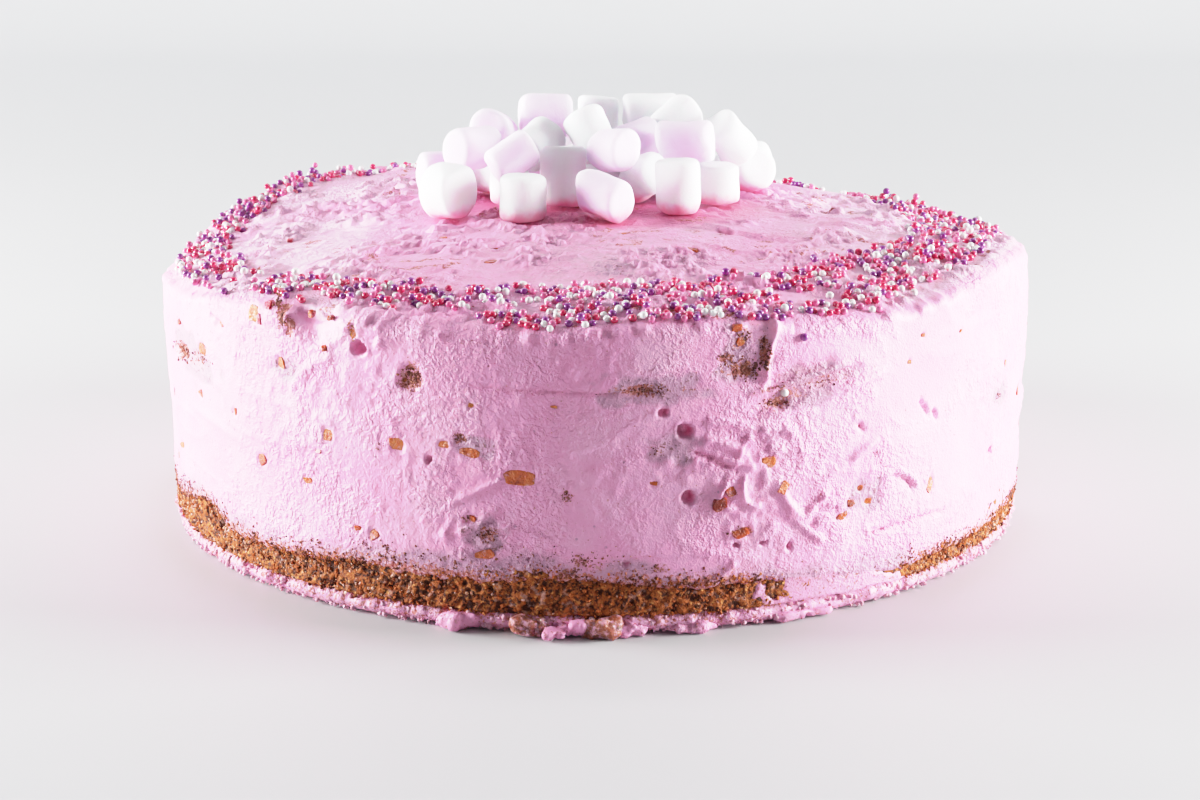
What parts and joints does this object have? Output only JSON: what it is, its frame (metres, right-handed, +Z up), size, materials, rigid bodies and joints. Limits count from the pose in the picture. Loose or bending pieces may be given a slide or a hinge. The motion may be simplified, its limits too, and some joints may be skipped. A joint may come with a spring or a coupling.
{
  "type": "mascarpone cake",
  "caption": "Round layer cake coated in pink mascarpone cream, with a rim of sugar pearls and a heap of small marshmallows in the middle of its domed top.",
  "frame": {"origin": "middle of the flat underside, on the surface that the cake stands on", "axes": "+Z up through the middle of the cake, -Y towards the side that is seen first"},
  "size_m": [0.2429, 0.2452, 0.1126],
  "materials": {
    "cream": "matte pink mascarpone cream with fine bubbles, sugar pearls and bits of caramel",
    "sponge": "coarse brown sponge crumb",
    "marshmallow_white": "matte, powdery white",
    "marshmallow_lilac": "matte, powdery pale lilac"
  },
  "bodies": {
    "root": {"cream": "cream", "marshmallow_lilac_03": "marshmallow_lilac", "marshmallow_lilac_05": "marshmallow_lilac", "marshmallow_lilac_14": "marshmallow_lilac", "marshmallow_lilac_18": "marshmallow_lilac", "marshmallow_lilac_19": "marshmallow_lilac", "marshmallow_lilac_21": "marshmallow_lilac", "marshmallow_lilac_23": "marshmallow_lilac", "marshmallow_lilac_24": "marshmallow_lilac", "marshmallow_lilac_26": "marshmallow_lilac", "marshmallow_lilac_27": "marshmallow_lilac", "marshmallow_lilac_28": "marshmallow_lilac", "marshmallow_lilac_31": "marshmallow_lilac", "marshmallow_lilac_33": "marshmallow_lilac", "marshmallow_white_01": "marshmallow_white", "marshmallow_white_02": "marshmallow_white", "marshmallow_white_04": "marshmallow_white", "marshmallow_white_06": "marshmallow_white", "marshmallow_white_07": "marshmallow_white", "marshmallow_white_08": "marshmallow_white", "marshmallow_white_09": "marshmallow_white", "marshmallow_white_10": "marshmallow_white", "marshmallow_white_11": "marshmallow_white", "marshmallow_white_12": "marshmallow_white", "marshmallow_white_13": "marshmallow_white", "marshmallow_white_15": "marshmallow_white", "marshmallow_white_16": "marshmallow_white", "marshmallow_white_17": "marshmallow_white", "marshmallow_white_20": "marshmallow_white", "marshmallow_white_22": "marshmallow_white", "marshmallow_white_25": "marshmallow_white", "marshmallow_white_29": "marshmallow_white", "marshmallow_white_30": "marshmallow_white", "marshmallow_white_32": "marshmallow_white", "marshmallow_white_34": "marshmallow_white", "marshmallow_white_35": "marshmallow_white", "marshmallow_white_36": "marshmallow_white", "sponge_base": "sponge", "sponge_upper": "sponge"}
  },
  "joints": []
}
